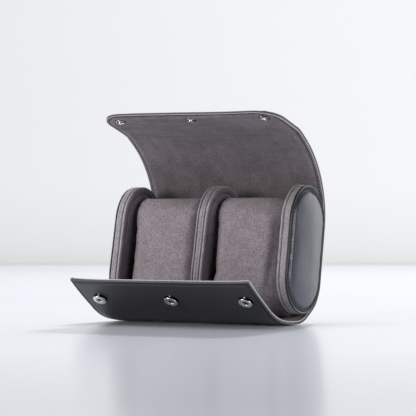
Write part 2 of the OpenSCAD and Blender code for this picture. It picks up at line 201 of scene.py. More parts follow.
def suede(name, dark, light, uv=False, stretch=(1, 1, 1), contrast=.5, nap=.0001, sheen=.25, kind=None, lines=(), speck=.3, top=None):
    m, nt, b = mat(name); n = N(nt); v = n.coord(uv)
    vs = n.scale(v, stretch)
    a = n.noise(vs, 38, 5, .62, .6)
    c = n.noise(vs, 150, 4, .65, .3)
    d = n.noise(v, 620, 3, .75)
    e = n.noise(v, 2600, 2, .6)
    f = n.math("ADD", n.math("MULTIPLY", a, .28), n.math("MULTIPLY", c, .24))
    f = n.math("ADD", f, n.math("MULTIPLY", d, .48))
    w = .5 - .36 * contrast
    col = n.ramp(f, [(w, dark), (1 - w, light)])
    # naps lie this way and that: fine light and dark flecks, a little warmer and cooler
    fl = n.ramp(n.noise(v, 1050, 2, .75), [(.36, (1 - speck,) * 3), (.5, (1, 1, 1)), (.66, (1 + speck * .8,) * 3)])
    col = n.mix(1.0, col, fl, "MULTIPLY")
    hue = n.ramp(n.noise(v, 420, 3, .7), [(.34, (.975, 1.01, 1.015)), (.5, (1, 1, 1)), (.66, (1.035, .985, .995))])
    col = n.mix(1.0, col, hue, "MULTIPLY")
    col = n.mix(n.math("MULTIPLY", e, .18), col, tuple(x * .5 for x in dark))
    if kind == "wrap":
        q, t = edge_mm(n, v)
        streak = n.noise(n.scale(v, (.12, 1.6, 1)), 190, 4, .6)
        lipzone = n.math("MULTIPLY", n.math("SUBTRACT", t, WRAP_LEN - LIP + 1), .25, clamp=True)
        st = n.ramp(streak, [(.35, (.86,) * 3), (.65, (1.16,) * 3)])
        col = n.mix(lipzone, col, n.mix(1.0, col, st, "MULTIPLY"))
        brushed = n.noise(n.scale(v, (1.0, .35, 1)), 120, 3, .6)
        col = n.mix(1.0, col, n.ramp(brushed, [(.33, (.9,) * 3), (.67, (1.12,) * 3)]), "MULTIPLY")
        cr = WRAP_LEN - LIP
        soft = n.noise(v, 90, 2)
        # painted highlight along the ridge at the crease, and painted shade just below it
        col = shade(n, col, n.math("MULTIPLY", line_at(n, t, cr + .3, .7), n.math("ADD", soft, .3), clamp=True), 1.5)
        col = shade(n, col, n.math("MULTIPLY", line_at(n, t, cr - 1.4, 1.6), .9), .84)
        # painted highlight on the turned edge, painted shade in the stitch groove, and a broad painted highlight where
        # the padded border rises from the edge
        col = shade(n, col, line_at(n, q, 1.2, 1.2), 1.22)
        col = shade(n, col, line_at(n, q, 2.8, .6), .6)
        wide = n.math("MULTIPLY", line_at(n, q, 5.6, 2.6), n.math("ADD", n.math("MULTIPLY", soft, 1.1), .1), clamp=True)
        col = shade(n, col, wide, 1.28)
    # lines paint bands of light and shade at given x: a factor above 1 is a painted highlight, below 1 painted shade
    if lines:
        sep = n.node("ShaderNodeSeparateXYZ"); nt.links.new(v, sep.inputs[0])
        x = n.math("MULTIPLY", sep.outputs[0], 1000.0)
        if kind == "sides": x = n.math("ABSOLUTE", x)
        for (at, width, k) in lines: col = shade(n, col, line_at(n, x, at, width), k)
        # painted shade over the top, where the lid overhangs; then lighter blotches, partly rubbed suede and partly
        # painted glints
        if top is not None:
            col = shade(n, col, line_at(n, n.math("MULTIPLY", sep.outputs[2], 1000.0), top[0], top[1]), top[2])
            rub_and_glint = n.noise(n.scale(v, (1, 1, .45)), 95, 2, .5)
            rub_and_glint = n.math("MULTIPLY", n.math("SUBTRACT", rub_and_glint, .6), 7.0, clamp=True)
            col = shade(n, col, rub_and_glint, 1.3)
    nt.links.new(col, b.inputs["Base Color"])
    b.inputs["Roughness"].default_value = .92
    b.inputs["Specular IOR Level"].default_value = .18
    b.inputs["Sheen Weight"].default_value = sheen
    b.inputs["Sheen Roughness"].default_value = .45
    b.inputs["Sheen Tint"].default_value = (*lin(206, 196, 206), 1)
    h = n.math("ADD", n.math("MULTIPLY", d, .7), n.math("MULTIPLY", e, .5))
    nrm = n.bump(a, .0009, .35)
    nt.links.new(n.bump(h, nap, .9, nrm), b.inputs["Normal"])
    return m


def metal(name, col, rough=.22):
    m, nt, b = mat(name); n = N(nt); v = n.coord()
    s = n.noise(v, 900, 3)
    nt.links.new(n.mix(n.math("MULTIPLY", s, .5), col, tuple(c * .6 for c in col)), b.inputs["Base Color"])
    b.inputs["Metallic"].default_value = 1
    nt.links.new(n.math("ADD", n.math("MULTIPLY", s, .2), rough - .1), b.inputs["Roughness"])
    nt.links.new(n.bump(s, .00002, .4), b.inputs["Normal"])
    return m


def thread(name, dark, light):
    m, nt, b = mat(name); n = N(nt); v = n.coord()
    w = nt.nodes.new("ShaderNodeTexWave"); w.bands_direction = "DIAGONAL"
    nt.links.new(v, w.inputs[0]); w.inputs["Scale"].default_value = 900
    nt.links.new(n.mix(w.outputs["Fac"], dark, light), b.inputs["Base Color"])
    b.inputs["Roughness"].default_value = .6
    nt.links.new(n.bump(w.outputs["Fac"], .00005, .6), b.inputs["Normal"])
    return m


# ------------------------------------------------------------ the wrap's curve
class Curve:
    """a run of straight lines and arcs in the YZ plane, inner face of the wrap"""
    def __init__(self, start, heading):          # heading as a unit vector
        self.p = np.array(start, float); self.d = np.array(heading, float)
        self.s = 0.0; self.items = []
    def line(self, length):
        self.items.append(("L", self.s, length, self.p.copy(), self.d.copy(), 0)); self.p = self.p + self.d * length
        self.s += length
    def arc(self, radius, turn):
        """turn in degrees, to the wrap's inner side"""
        self.items.append(("A", self.s, radius * rad(turn), self.p.copy(), self.d.copy(), radius))
        n = np.array([self.d[1], -self.d[0]])     # outward side
        c = self.p - n * radius
        t = rad(turn)
        self.p = c + radius * (n * math.cos(t) + self.d * math.sin(t))
        self.d = self.d * math.cos(t) - n * math.sin(t)
        self.s += radius * t
    def at(self, s):
        """point, direction, outward normal at arc length s"""
        s = min(max(s, 0.0), self.s)
        it = self.items[-1]
        for i in self.items:
            if s <= i[1] + i[2]:
                it = i; break
        kind, s0, L, p, d, r = it
        u = s - s0
        n = np.array([d[1], -d[0]])
        if kind == "L": return p + d * u, d, n
        t = u / r; c = p - n * r
        nn = n * math.cos(t) + d * math.sin(t)
        return c + r * nn, d * math.cos(t) - n * math.sin(t), nn


def unit(v): return v / np.linalg.norm(v)


# hinge points of the flap and the lid, as in the frame
ys = (30 - R - .6) / math.cos(rad(LEAN)) + PY + (WT + 30 - PZ) * math.tan(rad(LEAN)) - FSEG / 2
FH = [np.array([ys, WT])]; f = 0
for t in FOPEN[:3]:
    f += t; FH.append(FH[-1] + FSEG * np.array([-math.cos(rad(f)), math.sin(rad(f))]))
FHEAD = sum(FOPEN)
fdir = np.array([-math.cos(rad(FHEAD)), math.sin(rad(FHEAD))])
FEND = FH[3] + FLAP * fdir

C = Curve(FEND, -fdir)
C.line(FLAP - FSEG / 2)
marks = {"f3": C.s}                                # start of the bend over hinge 4
for k in (3, 2, 1):
    r_ = (FSEG / 2) / math.tan(rad(FOPEN[k] / 2))
    C.arc(r_, FOPEN[k]); marks["f%d" % (k - 1)] = C.s
# first hinge has no turning at rest: straight, then the heel
HEEL, HT = 32.0, 9.0
hr = HT / math.tan(rad(HEEL / 2))
touch = DOWN + WR * away(HEEL - 90)
corner_y = touch[0] - (touch[1] - WT) / math.tan(rad(HEEL))
C.line(corner_y - HT - C.p[0])
C.arc(hr, HEEL)
C.line(np.linalg.norm(touch - C.p))
marks["base"] = C.s - 12
C.arc(WR, 90 - HEEL - LEAN)
C.line(np.linalg.norm(UP + WR * away(-LEAN) - C.p))
marks["l0"] = C.s
for k, t in enumerate(OPEN):
    C.arc((LSEG / 2) / math.tan(rad(t / 2)), t); marks["l%d" % (k + 1)] = C.s
CT = 3.2
C.line(LSEG / 2 - CT)
marks["c0"] = C.s
C.arc(CT / math.tan(rad(CREASE / 2)), CREASE)
marks["c1"] = C.s
C.line(LIP - CT)
S_END = C.s
marks["f_hinge"] = marks["f0"] + FSEG / 2


WRAP_LEN = S_END

M_LEATHER = leather("leather_smooth", lin(48, 48, 52), lin(59, 59, 64), uv=True, border=True)
M_LEATHER_EDGE = leather("leather_cut_edge", lin(88, 87, 92), lin(113, 111, 115), uv=True, rough=(.5, .7))
M_LEATHER_OBJ = leather("leather_panel", lin(44, 44, 50), lin(60, 60, 67), coat=.15)
M_BORDER = leather("leather_border", lin(24, 23, 27), lin(35, 34, 39), rough=(.45, .55), coat=0)
M_BORDER.node_tree.nodes["Principled BSDF"].inputs["Specular IOR Level"].default_value = .18
M_PIPING = leather("leather_piping", lin(14, 14, 16), lin(21, 21, 24), rough=(.24, .34), coat=.2)
M_PAD = leather("leather_pad", lin(62, 61, 73), lin(78, 77, 92), rough=(.19, .26), grain=.00003, coat=0)
M_LINING = suede("suede_lining", lin(88, 82, 84), lin(145, 137, 140), uv=True, stretch=(.6, 1, 1), kind="wrap")
# the lining's cut edge, pushed lighter than its own colour: a painted highlight, the lit copy of the edge
M_EDGE = suede("suede_cut_edge", lin(226, 220, 224), lin(245, 241, 244), uv=True, contrast=.8, speck=.1)
# painted light across the rims: lighter bands on the ridges, darker in the seam grooves and where the suede turns over
# at the edges; top= paints shade over the rims' tops, under the lid
END_RIM_PAINTED_LIGHT = [(74.15, .6, .45), (75.3, .7, 1.25), (76.7, .6, .42), (77.8, .7, 1.12), (80.2, .5, .88), (82.1, .45, .5)]
DIV_RIM_PAINTED_LIGHT = [(-4.9, .5, .5), (-4.0, .7, 1.25), (-2.9, .6, .45), (-1.6, .9, 1.14), (.4, .5, .86), (1.3, .6, 1.1), (2.5, .6, .45),
             (3.7, .7, 1.25), (4.9, .5, .5)]
M_RIM = suede("suede_rim", lin(154, 146, 152), lin(210, 204, 208), lines=END_RIM_PAINTED_LIGHT, kind="sides", top=(118, 26, .58))
M_RIM_MID = suede("suede_divider_rim", lin(149, 140, 146), lin(211, 202, 207), lines=DIV_RIM_PAINTED_LIGHT, top=(118, 26, .58))
M_FACE = suede("suede_face", lin(84, 77, 79), lin(120, 111, 114))
# painted shade at the pillows' ends, in the shadow of the divider and the end panels and down in the gaps beside them
PILLOW_END_PAINTED_SHADE = [(-11.5, 5.8, .45), (-68.3, 1.6, .75), (66.0, 12.5, .6), (9.8, 1.4, .8)]
M_PILLOW = suede("suede_pillow", lin(143, 132, 137), lin(206, 195, 201), contrast=.68, speck=.4, lines=PILLOW_END_PAINTED_SHADE)
M_METAL = metal("nickel_bright", (.93, .92, .90), .24)
M_CAP = metal("nickel_satin", (.44, .435, .43), .36)
# near-black metal for the snaps' dark parts, made far darker than nickel so that it also stands in for shade: partly
# painted shade
M_DARK_AND_SHADE = metal("nickel_dark_and_painted_shade", (.01, .01, .011), .5)
# a darker copy of the same cut edge for the lid and the rear wall: painted shade
M_EDGE_LID_SHADED = suede("suede_cut_edge_lid_shaded", lin(186, 180, 184), lin(214, 209, 213), uv=True, contrast=.8, speck=.1)
M_THREAD = thread("thread_dark", lin(30, 30, 33), lin(58, 57, 61))
M_THREAD_L = thread("thread_lining", lin(14, 13, 14), lin(30, 28, 30))


def waver(x, s):
    """the slight unevenness of hand-cut leather, in mm, along the normal"""
    a = noise.noise(Vector((x * .018, s * .02, 3.1)))
    b = noise.noise(Vector((x * .06, s * .055, 9.7)))
    d = .22 * a + .07 * b
    # the lip hangs a little lower to the right, and the flap's corners curl up
    k = smooth01((s - marks["l4"]) / (S_END - marks["l4"]))
    d -= .8 * math.sin(math.pi * x / 100) * k
    if s < 30: d -= (1.5 if x < 0 else 1.1) * abs(x / HW) ** 7 * (1 - s / 30) ** 2
    return d


def smooth01(t):
    t = min(max(t, 0.0), 1.0)
    return t * t * (3 - 2 * t)


def loose(s):
    """1 where the wrap is free, 0 where it lies round the panels"""
    return max(1 - smooth01((s - marks["f2"]) / (marks["f0"] - marks["f2"])),
               smooth01((s - marks["l1"]) / (marks["l3"] - marks["l1"])))


def edge_of(x, s):
    cx, cs = max(abs(x) - (HW - LIP_R), 0), max(s - (S_END - LIP_R), 0)
    return min(LIP_R - math.hypot(cx, cs), s)


def lay(x, s, depth):
    """where a depth in the flat wrap comes to lie: the sewn edge is pressed thin, the rest is plump"""
    e = edge_of(x, s); t = depth / WT; lo = loose(s)
    pressed = 1 - smooth01((e - 2.0) / 2.8)
    inner = .5 * pressed + .42 * math.exp(-((e - 2.8) / .75) ** 2)
    plump = .5 + .5 * noise.noise(Vector((x * .03, s * .045, 1.3)))
    inner -= (.25 + .75 * plump) * .75 * math.exp(-((e - 7.5) / 3.2) ** 2) * lo
    outer = -.5 * pressed - .38 * math.exp(-((e - 2.8) / .65) ** 2)
    # the lip's front edge is thinner still
    end = smooth01((s - (S_END - 9)) / 9)
    outer -= .75 * end * (1 - smooth01(e / 6))
    # a soft ridge on the lining along the crease
    c = (marks["c0"] + marks["c1"]) / 2
    inner -= .32 * math.exp(-((s - c) / .8) ** 2)
    inner += .3 * math.exp(-((s - c + 2.2) / 1.6) ** 2)
    # the rear wall is a little plump outside
    back = smooth01((s - marks["base"] - 20) / 40) * (1 - smooth01((s - marks["l2"]) / 40))
    outer += 1.0 * back * smooth01(e / 9)
    return depth + inner * (1 - t) + outer * t + waver(x, s) * lo


def wrap_pt(x, s, depth):
    p, d, n = C.at(s)
    q = p + n * depth
    return (x * MM, q[0] * MM, q[1] * MM)


# ------------------------------------------------------------ sheets of the wrap
FLAP_R = 1.6


def rows_for(sa, sb):
    """row descriptors: (kind, value). 's' straight, 'a' near the flap's end, 'b' near the lip's end"""
    rows = []
    lo, hi = sa, sb
    if sa <= 0:
        for k in range(5, 0, -1): rows.append(("a", rad(90 * k / 5)))
        lo = FLAP_R
    if sb >= S_END:
        hi = S_END - LIP_R
    s = lo
    steps = [lo]
    if sa <= 0:
        steps += [2.0, 2.4, 2.8, 3.2, 3.7, 4.4, 5.4, 6.8, 8.6, 10.6, 13]; s = 13
    while s < hi - .01:
        it = [i for i in C.items if s >= i[1] - 1e-6][-1]
        step = 1.25 if it[0] == "A" and it[5] < 200 else 2.6
        s = s + step
        if s > hi - .4: s = hi
        steps.append(s)
    rows += [("s", v) for v in steps]
    if sb >= S_END:
        for k in range(1, 15): rows.append(("b", rad(90 * k / 14)))
    return rows


def row_at(row, inset):
    kind, v = row
    if kind == "s": return v, HW - inset
    if kind == "a":
        return FLAP_R - (FLAP_R - inset) * math.sin(v), HW - FLAP_R + (FLAP_R - inset) * math.cos(v)
    return S_END - LIP_R + (LIP_R - inset) * math.sin(v), HW - LIP_R + (LIP_R - inset) * math.cos(v)


NEAR = [0, .4, .9, 1.5, 2.0, 2.4, 2.8, 3.2, 3.7, 4.4, 5.4, 6.8, 8.6, 10.6, 13, 16.5]
MIDDLE = 14


def cols(hw):
    """places across the wrap, closer together near its edges"""
    out = [-hw + d for d in NEAR]
    out += [float(x) for x in np.linspace(-hw + 16.5, hw - 16.5, MIDDLE + 2)[1:-1]]
    return out + [hw - d for d in reversed(NEAR)]


NCOL = 2 * len(NEAR) + MIDDLE


def sheet_mesh(name, sa, sb, d0, d1, inset, er, mats, smaps=None):
    """a closed ply of the wrap between two depths, from arc length sa to sb"""
    rows = rows_for(sa, sb)
    nr, nc = len(rows), NCOL
    layers = []
    ne = 4
    for k in range(ne + 1):
        a = rad(90 * k / ne)
        layers.append((d0 + er * (1 - math.cos(a)), inset + er * (1 - math.sin(a))))
    for k in range(ne, -1, -1):
        a = rad(90 * k / ne)
        layers.append((d1 - er * (1 - math.cos(a)), inset + er * (1 - math.sin(a))))
    verts, uvs = [], []

    def vert(x, s, dep):
        q = lay(x, s, dep)
        verts.append(wrap_pt(x, s, q)); uvs.append((x * MM, s * MM))
        return len(verts) - 1
    grid = {}
    for li in (0, len(layers) - 1):
        dep, ins = layers[li]
        for r, row in enumerate(rows):
            s, hw = row_at(row, ins)
            for c, x in enumerate(cols(hw)):
                grid[li, r, c] = vert(x, s, dep)
    free_a, free_b = sa <= 0, sb >= S_END
    path = [(r, 0) for r in range(nr)]
    if free_b: path += [(nr - 1, c) for c in range(1, nc - 1)]
    path += [(r, nc - 1) for r in range(nr - 1, -1, -1)]
    if free_a: path += [(0, c) for c in range(nc - 2, 0, -1)]
    for li in range(1, len(layers) - 1):
        dep, ins = layers[li]
        for (r, c) in path:
            s, hw = row_at(rows[r], ins)
            grid[li, r, c] = vert(cols(hw)[c], s, dep)
    faces, fm, cap = [], [], []
    last = len(layers) - 1
    for r in range(nr - 1):
        for c in range(nc - 1):
            a, b, c2, d = grid[0, r, c], grid[0, r, c + 1], grid[0, r + 1, c + 1], grid[0, r + 1, c]
            faces.append((a, b, c2, d)); fm.append(0)
            a, b, c2, d = grid[last, r, c], grid[last, r + 1, c], grid[last, r + 1, c + 1], grid[last, r, c + 1]
            faces.append((a, b, c2, d)); fm.append(0)
    for k in range(len(path)):
        p, q = path[k], path[(k + 1) % len(path)]
        if abs(p[0] - q[0]) + abs(p[1] - q[1]) != 1: continue      # an end that isn't free
        for li in range(last):
            faces.append((grid[(li,) + p], grid[(li + 1,) + p], grid[(li + 1,) + q], grid[(li,) + q]))
            fm.append(1 if len(mats) > 1 and 1 <= li <= last - 2 else 0)
    for r, free in ((0, free_a), (nr - 1, free_b)):
        if free: continue
        loop = [grid[0, r, c] for c in range(nc)] + [grid[li, r, nc - 1] for li in range(1, last)] \
            + [grid[last, r, c] for c in range(nc - 1, -1, -1)] + [grid[li, r, 0] for li in range(last - 1, 0, -1)]
        cap.append(len(faces)); faces.append(tuple(loop)); fm.append(0)
    me = bpy.data.meshes.new(name)
    me.from_pydata(verts, [], faces)
    uvl = me.uv_layers.new(name="UVMap")
    li = np.empty(len(me.loops), np.int32); me.loops.foreach_get("vertex_index", li)
    uvl.data.foreach_set("uv", np.array(uvs, np.float32)[li].ravel())
    for m in mats: me.materials.append(m)
    me.polygons.foreach_set("material_index", fm)
    me.polygons.foreach_set("use_smooth", [True] * len(faces))
    bm = bmesh.new(); bm.from_mesh(me); bm.faces.ensure_lookup_table()
    for i in cap:
        for e in bm.faces[i].edges: e.smooth = False
    bmesh.ops.recalc_face_normals(bm, faces=bm.faces)
    bm.to_mesh(me); bm.free()
    return put(bpy.data.objects.new(name, me))


def frame_at(x, s, depth):
    p, d, n = C.at(s)
    q = p + n * lay(x, s, depth)
    return (Vector((x, q[0], q[1])), Vector((1, 0, 0)), Vector((0, d[0], d[1])), Vector((0, n[0], n[1])))


def stitch_line():
    """(x, s, direction x, direction s) along the border, a fixed distance from the edge"""
    e, pitch = 2.8, 2.9
    out = []
    rr = LIP_R - e
    x0 = HW - e
    L1 = S_END - LIP_R - e
    half = L1 + rr * math.pi / 2 + (HW - LIP_R)
    n = int(half / pitch)
    for side in (-1, 1):
        for k in range(n):
            t = (k + .5) * half / n
            if t < L1: out.append((side * x0, e + t, 0, 1))
            elif t < L1 + rr * math.pi / 2:
                a = (t - L1) / rr
                out.append((side * (HW - LIP_R + rr * math.cos(a)), S_END - LIP_R + rr * math.sin(a),
                            -side * math.sin(a), math.cos(a)))
            else: out.append((side * (HW - LIP_R - (t - L1 - rr * math.pi / 2)), S_END - e, -side, 0))
    n = int(2 * x0 / pitch)
    for k in range(1, n): out.append((-x0 + 2 * x0 * k / n, e, 1, 0))
    return out


STITCHES = stitch_line()


def add_bead(verts, faces, P, T, B, Nn, L, W, Hh, seg=6, rings=6):
    """a small lens of thread: centre P, along T, width along B, height along Nn"""
    base = len(verts)
    for i in range(rings + 1):
        a = math.pi * i / rings
        l, w = -math.cos(a) * L / 2, math.sin(a) ** .7
        if i in (0, rings):
            verts.append(tuple((P + T * l) * MM)); continue
        for j in range(seg):
            t = 2 * math.pi * j / seg
            verts.append(tuple((P + T * l + B * (math.cos(t) * W / 2 * w) + Nn * (math.sin(t) * Hh * w)) * MM))
    idx = lambda i, j: base if i == 0 else (base + 1 + (rings - 1) * seg if i == rings else base + 1 + (i - 1) * seg + j % seg)
    for i in range(rings):
        for j in range(seg):
            a, b, c, d = idx(i, j), idx(i, j + 1), idx(i + 1, j + 1), idx(i + 1, j)
            faces.append(tuple(dict.fromkeys((a, b, c, d))))


def stitches(name, sa, sb, depth, material, high=.3):
    verts, faces = [], []
    rnd = random.Random(7)
    for (x, s, dx, ds) in STITCHES:
        if not (sa <= s < sb or (sb >= S_END and s >= sa)): continue
        P, X, D, Nn = frame_at(x, s, depth)
        T = X * dx + D * ds; B = Nn.cross(T)
        j = rnd.uniform(-.12, .12)
        T2 = (T + B * j).normalized(); B2 = Nn.cross(T2)
        add_bead(verts, faces, P, T2, B2, Nn, 1.9 + rnd.uniform(-.15, .15), .95, high)
    me = bpy.data.meshes.new(name); me.from_pydata(verts, [], faces)
    me.polygons.foreach_set("use_smooth", [True] * len(faces)); me.materials.append(material)
    bm = bmesh.new(); bm.from_mesh(me); bmesh.ops.recalc_face_normals(bm, faces=bm.faces); bm.to_mesh(me); bm.free()
    return put(bpy.data.objects.new(name, me))


def yz(s): 
    p, d, n = C.at(s)
    q = p + n * 1.8
    return (0, q[0] * MM, q[1] * MM)


# pieces: name, from, to, body at the low end, body at the high end, blend start, blend end
PIECES = [
    ("front_flap", 0, marks["f2"], "front_flap", "flap_3", marks["f3"], marks["f2"],
     ["front_flap_leather", "flap_leather_3"], ["front_flap_lining", "front_flap_board", "flap_lining_3"]),
    ("flap_bend_b", marks["f2"], marks["f1"], "flap_3", "flap_2", marks["f2"], marks["f1"], ["flap_leather_2"], ["flap_lining_2"]),
    ("flap_bend_c", marks["f1"], marks["f0"], "flap_2", "flap_1", marks["f1"], marks["f0"], ["flap_leather_1"], ["flap_lining_1"]),
    ("base", marks["f0"], marks["base"], "flap_1", "case", marks["f0"], marks["f0"] + FSEG, [], []),
    ("rear", marks["base"], marks["l1"], "case", "lid_1", marks["l0"], marks["l1"],
     ["case_leather"], ["case_lining", "case_board"]),
]
for k in range(1, 6):
    PIECES.append(("lid_bend_%s" % "abcde"[k - 1], marks["l%d" % k], marks["l%d" % (k + 1)], "lid_%d" % k, "lid_%d" % (k + 1),
                   marks["l%d" % k], marks["l%d" % (k + 1)], ["lid_leather_%d" % k], ["lid_lining_%d" % k]))
PIECES.append(("lip", marks["l6"], S_END, "lid_6", "lid_lip", marks["c0"], marks["c1"],
               ["lip_leather", "lid_leather_6"], ["lip_lining", "lip_board", "lid_lining_6"]))

def finish_wrap():
    for (nm, sa, sb, ba, bb, b0, b1, rl, ri) in PIECES:
        o1 = sheet_mesh("wrap_leather_" + nm, sa, sb, 1.36, WT, 0.0, .5, [M_LEATHER, M_LEATHER_EDGE])
        # the lid and the rear wall get the painted-shade copy of the cut edge, the rest the lit copy
        o2 = sheet_mesh("wrap_lining_" + nm, sa, sb, 0.0, 1.12, .3, .3, [M_LINING, M_EDGE_LID_SHADED if sa >= marks["base"] else M_EDGE])
        o3 = stitches("stitches_out_" + nm, sa, sb, WT, M_THREAD, .16)
        o4 = stitches("stitches_in_" + nm, sa, sb, 0.0, M_THREAD_L, .42)
        for o, sl in ((o1, "leather"), (o2, "lining"), (o3, "leather"), (o4, "lining")):
            if len(o.data.vertices): yz(b0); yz(b1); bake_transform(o)
        if rl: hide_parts(*rl)
        if ri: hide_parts(*ri)


finish_wrap()


# ------------------------------------------------------------ the panels
AX = Vector((0, math.sin(rad(LEAN)), math.cos(rad(LEAN))))      # up along the panels
BK = Vector((0, math.cos(rad(LEAN)), -math.sin(rad(LEAN))))     # back across them
CEN = Vector((0, PY, PZ))


FOOT_Z = PZ - A * math.cos(rad(LEAN)) - R
TILT = 1.3                                             # the left panel and the divider lean to the right
CUT = .15


def tilted(o, x):
    """stands a piece on the lowest line of its panel, leaning to the right"""
    q = Matrix.Translation((x * MM, 0, FOOT_Z * MM))
    o.matrix_world = q @ Matrix.Rotation(rad(TILT), 4, "Y") @ q.inverted()
    return o


def stadium(r, a=A, n=26, m=14):
    """closed outline in the panels' plane: (across, along, arc length)"""
    pts = []
    for i in range(n + 1):
        t = math.pi * i / n; pts.append((r * math.cos(t), a + r * math.sin(t)))
    for i in range(1, m): pts.append((-r, a - 2 * a * i / m))
    for i in range(n + 1):
        t = math.pi + math.pi * i / n; pts.append((r * math.cos(t), -a + r * math.sin(t)))
    for i in range(1, m): pts.append((r, -a + 2 * a * i / m))
    return pts


def loft(name, prof, material, closed=False, cap=(False, False), wobble=None, n=26, m=14):
    """sweeps a profile of (x, r) round the stadium; cap closes an end to the centre line"""
    verts, faces, uvs = [], [], []
    count = len(stadium(1, n=n, m=m))
    v = 0.0
    for k, (x, r) in enumerate(prof):
        if k: v += math.hypot(x - prof[k - 1][0], r - prof[k - 1][1])
        arc = 0.0; prev = None
        for i, (w, l) in enumerate(stadium(max(r, .02), n=n, m=m)):
            if prev: arc += math.hypot(w - prev[0], l - prev[1])
            prev = (w, l)
            dx = dr = 0.0
            if wobble: dx, dr = wobble(x, r, w, l)
            if dr:
                u = Vector((w, l - max(-A, min(A, l)))); u = u.normalized() if u.length > 1e-6 else Vector((0, 0))
                w, l = w + u[0] * dr, l + u[1] * dr
            verts.append(tuple((CEN + Vector((x + dx, 0, 0)) + AX * l + BK * w) * MM)); uvs.append((arc * MM, v * MM))
    K = len(prof)
    for k in range(K if closed else K - 1):
        for i in range(count):
            j = (i + 1) % count; kk = (k + 1) % K
            faces.append((k * count + i, k * count + j, kk * count + j, kk * count + i))
    me = bpy.data.meshes.new(name); me.from_pydata(verts, [], faces)
    me.materials.append(material)
    uvl = me.uv_layers.new(name="UVMap")
    bm = bmesh.new(); bm.from_mesh(me); bm.verts.ensure_lookup_table()
    lay = bm.loops.layers.uv.verify()
    for fc in bm.faces:
        for lp in fc.loops: lp[lay].uv = uvs[lp.vert.index]
    for which, k in ((0, 0), (1, K - 1)):
        if cap[which]:
            # the innermost ring is a flat sliver along the centre line: join it across
            ring = [bm.verts[k * count + i] for i in range(count)]
            bm.faces.new(ring if which else ring[::-1])
    bmesh.ops.remove_doubles(bm, verts=bm.verts, dist=2e-6)
    bmesh.ops.recalc_face_normals(bm, faces=bm.faces)
    for fc in bm.faces: fc.smooth = True
    bm.to_mesh(me); bm.free()
    return put(bpy.data.objects.new(name, me))


def fuzz(amp, sc=.09, seed=0.0):
    def f(x, r, w, l):
        q = Vector((x * sc + seed, w * sc, l * sc))
        return amp * noise.noise(q), amp * noise.noise(q + Vector((7.7, 3.1, 5.5)))
    return f


def worn(amp, sc, seed, k=1.0, right=False):
    """soft unevenness, and the rim's top pulled up where the suede is gathered over the board"""
    base = fuzz(amp, sc, seed)

    def f(x, r, w, l):
        dx, dr = base(x, r, w, l)
        if r > 20:
            f_ = k * smooth01((r - 24.5) / 3)
            if right: dr += f_ * (-.55 * math.exp(-((l - 33) / 7.0) ** 2) * (1 if w < 0 else 0) + 1.15 * smooth01((l - 43) / 8))
            else: dr += f_ * 1.15 * smooth01((l - 27) / 22)
        return dx, dr
    return f


def rib(x0, x1, h0, marks_, step=.28):
    """profile points across a rim from x0 to x1 at radius h0, with grooves and ridges (x, height, width)"""
    out = []
    k = int(abs(x1 - x0) / step)
    for i in range(k + 1):
        x = x0 + (x1 - x0) * i / k
        h = h0
        for (mx, mh, mw) in marks_: h += mh * math.exp(-((x - mx) / mw) ** 2)
        out.append((x, h))
    return out


def face_profile(x_, deep):
    """a suede face: a flat border, a sewn channel, then a gently stuffed field. deep points into the panel"""
    out = [(x_ + .9 * deep, R - .95), (x_ + .3 * deep, R - 1.1), (x_ + .06 * deep, R - 1.4)]
    for r in np.linspace(R - 1.8, R - 3.4, 5): out.append((x_, float(r)))
    for r in np.linspace(R - 3.6, R - 5.2, 9):
        out.append((x_ + deep * .62 * math.exp(-((r - (R - 4.4)) / .42) ** 2), float(r)))
    r1 = R - 5.4
    for t in np.linspace(0, 1, 13)[1:]:
        out.append((x_ - deep * .3 * math.sin(math.pi / 2 * min(1, t * 1.6)) ** 1.0, r1 * (1 - t) + .03))
    return out


def channel_lines(mname, dark, light):
    """the face's suede, with painted shade down in its sewn channel and over its top, and painted highlights on its
    border and on the field beside the channel
    """
    m = suede(mname, dark, light)
    nt = m.node_tree; n = N(nt); b = [q for q in nt.nodes if q.type == "BSDF_PRINCIPLED"][0]
    v = n.coord()
    # distance from the panel's middle line, in its own plane
    sep = n.node("ShaderNodeSeparateXYZ"); nt.links.new(v, sep.inputs[0])
    y = n.math("SUBTRACT", n.math("MULTIPLY", sep.outputs[1], 1000.0), PY)
    z = n.math("SUBTRACT", n.math("MULTIPLY", sep.outputs[2], 1000.0), PZ)
    c, q = math.cos(rad(LEAN)), math.sin(rad(LEAN))
    w = n.math("SUBTRACT", n.math("MULTIPLY", y, c), n.math("MULTIPLY", z, q))
    l = n.math("ABSOLUTE", n.math("ADD", n.math("MULTIPLY", y, q), n.math("MULTIPLY", z, c)))
    l = n.math("MAXIMUM", n.math("SUBTRACT", l, A), 0.0)
    r = n.math("SQRT", n.math("ADD", n.math("MULTIPLY", w, w), n.math("MULTIPLY", l, l)))
    col = b.inputs["Base Color"].links[0].from_socket
    # painted shade in the channel, painted highlights on the border and the field, then painted shade over the top,
    # under the lid
    col = shade(n, col, line_at(n, r, R - 4.4, .9), .4)
    col = shade(n, col, line_at(n, r, R - 1.2, 1.0), 1.3)
    col = shade(n, col, line_at(n, r, R - 6.0, 1.4), 1.14)
    col = shade(n, col, line_at(n, z, 58.0, 26.0), .55)
    nt.links.new(col, b.inputs["Base Color"])
    return m


M_FACE_SEWN = channel_lines("suede_face_sewn", lin(95, 87, 90), lin(136, 127, 130))


